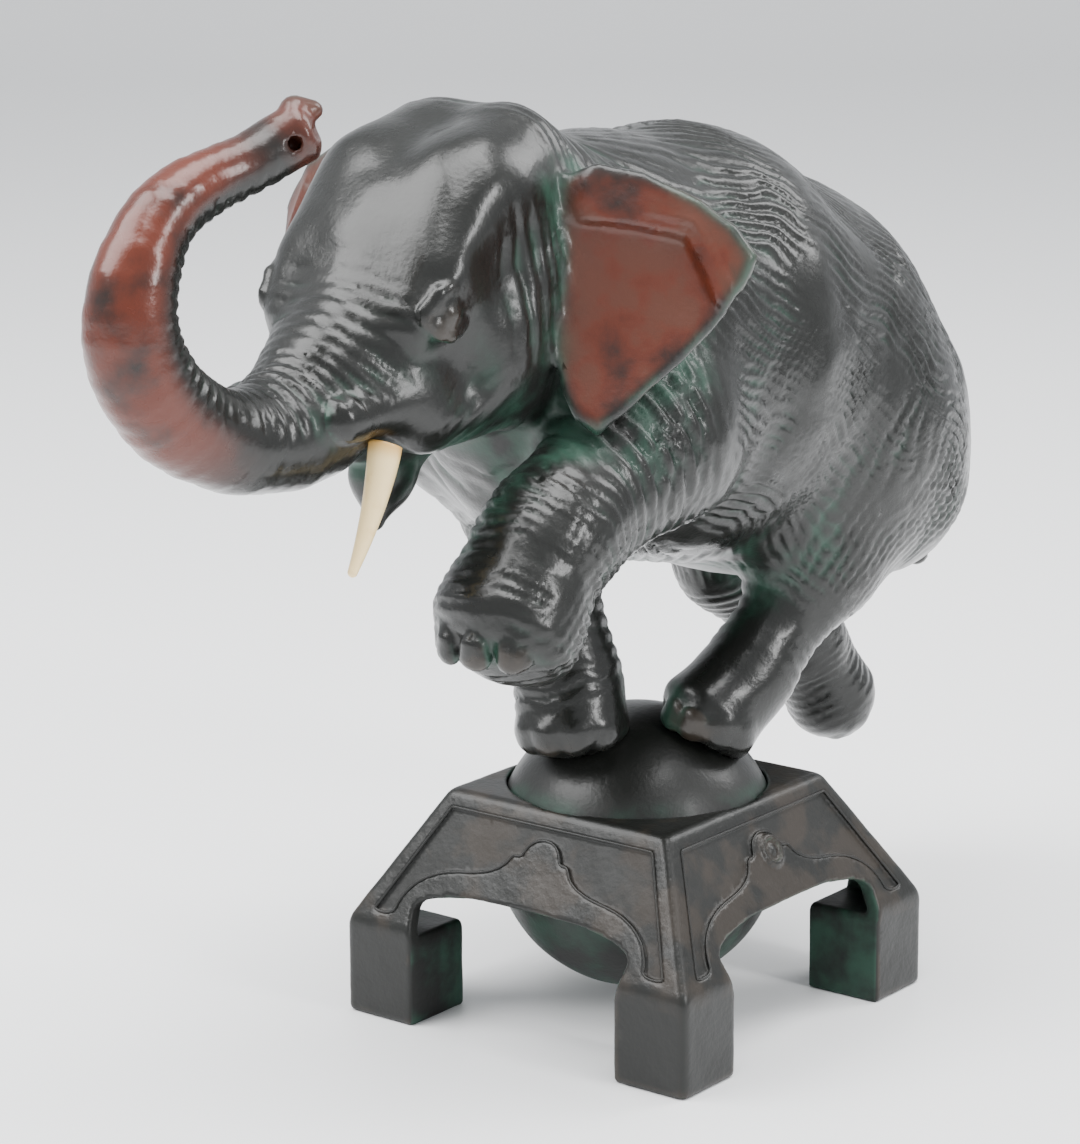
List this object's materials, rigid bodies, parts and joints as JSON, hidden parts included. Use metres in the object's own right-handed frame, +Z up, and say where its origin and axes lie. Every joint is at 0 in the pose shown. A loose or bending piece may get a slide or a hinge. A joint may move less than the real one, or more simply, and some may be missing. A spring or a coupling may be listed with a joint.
{
  "type": "elephant sculpture",
  "caption": "Cast bronze elephant with raised trunk, balancing on a ball that sits in a pierced square stand, an ornament for a shelf or cabinet.",
  "frame": {"origin": "middle of the bounding box, on the ground", "axes": "+Z up, the elephant heads along -Y, its left side is +X"},
  "size_m": [0.1566, 0.3622, 0.2776],
  "materials": {
    "elephant_bronze": "dark patinated bronze, waxed, with green in the hollows and red-brown on the trunk and ears",
    "ball_bronze": "dark patinated bronze, satin",
    "stand_bronze": "dark patinated bronze, satin, sunk fields matt",
    "tusk": "polished ivory-coloured inlay"
  },
  "bodies": {
    "root": {"elephant": "elephant_bronze", "ball": "ball_bronze", "stand": "stand_bronze", "tusk_left": "tusk"}
  },
  "joints": []
}
